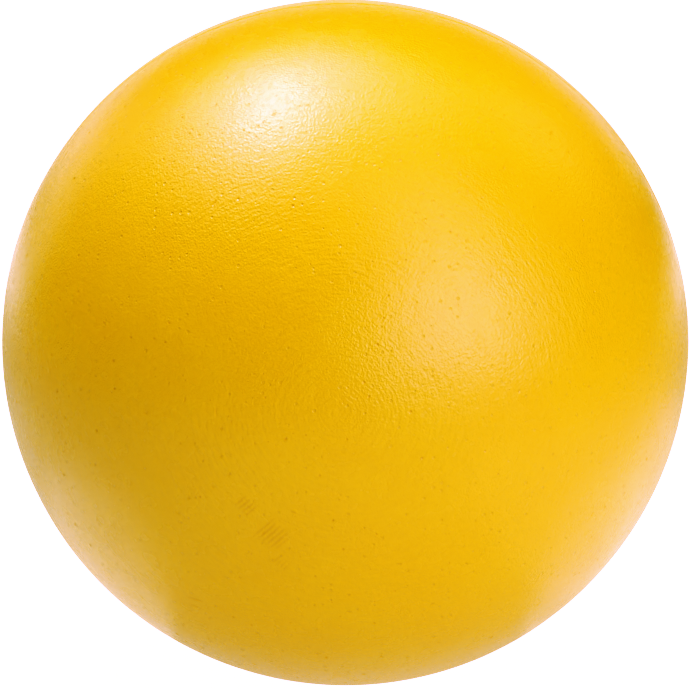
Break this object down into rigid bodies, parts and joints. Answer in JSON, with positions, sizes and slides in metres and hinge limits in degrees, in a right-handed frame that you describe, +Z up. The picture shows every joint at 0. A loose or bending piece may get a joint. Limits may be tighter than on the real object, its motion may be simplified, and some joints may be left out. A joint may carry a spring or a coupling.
{
  "type": "stress ball",
  "caption": "Round squeezable foam ball in a satin lacquered skin, for squeezing in one hand, with a small flat to stand on.",
  "frame": {"origin": "centre of the small flat underneath, which the ball stands on", "axes": "+Z up through the ball's centre, Y along the axis in which the mould opened and in which the ball is squeezed, with -Y at the front, X along the parting line"},
  "size_m": [0.063, 0.063, 0.0627],
  "materials": {
    "skin_lacquer": "satin",
    "seam_flash": "satin",
    "foam": "matte",
    "touch_up_lacquer": "gloss"
  },
  "bodies": {
    "core": {"foam_core": "foam", "seam_bead": "seam_flash", "gate_plug": "foam", "gate_seal": "touch_up_lacquer"},
    "front_half": {"skin_front": "skin_lacquer"},
    "rear_half": {"skin_rear": "skin_lacquer"}
  },
  "joints": [
    {"name": "squeeze_front", "type": "slide", "parent": "core", "child": "front_half", "axis": [0, 1, 0], "range_m": [0, 0.0126], "stiffness_N_per_m": 4800, "deforming": ["skin_front", "foam_core", "seam_bead", "gate_plug", "gate_seal"]},
    {"name": "squeeze_rear", "type": "slide", "parent": "core", "child": "rear_half", "axis": [0, -1, 0], "range_m": [0, 0.0126], "stiffness_N_per_m": 4800, "deforming": ["skin_rear"]}
  ],
  "couplings": [
    {"joint": "squeeze_rear", "follows": "squeeze_front", "ratio": 1}
  ]
}
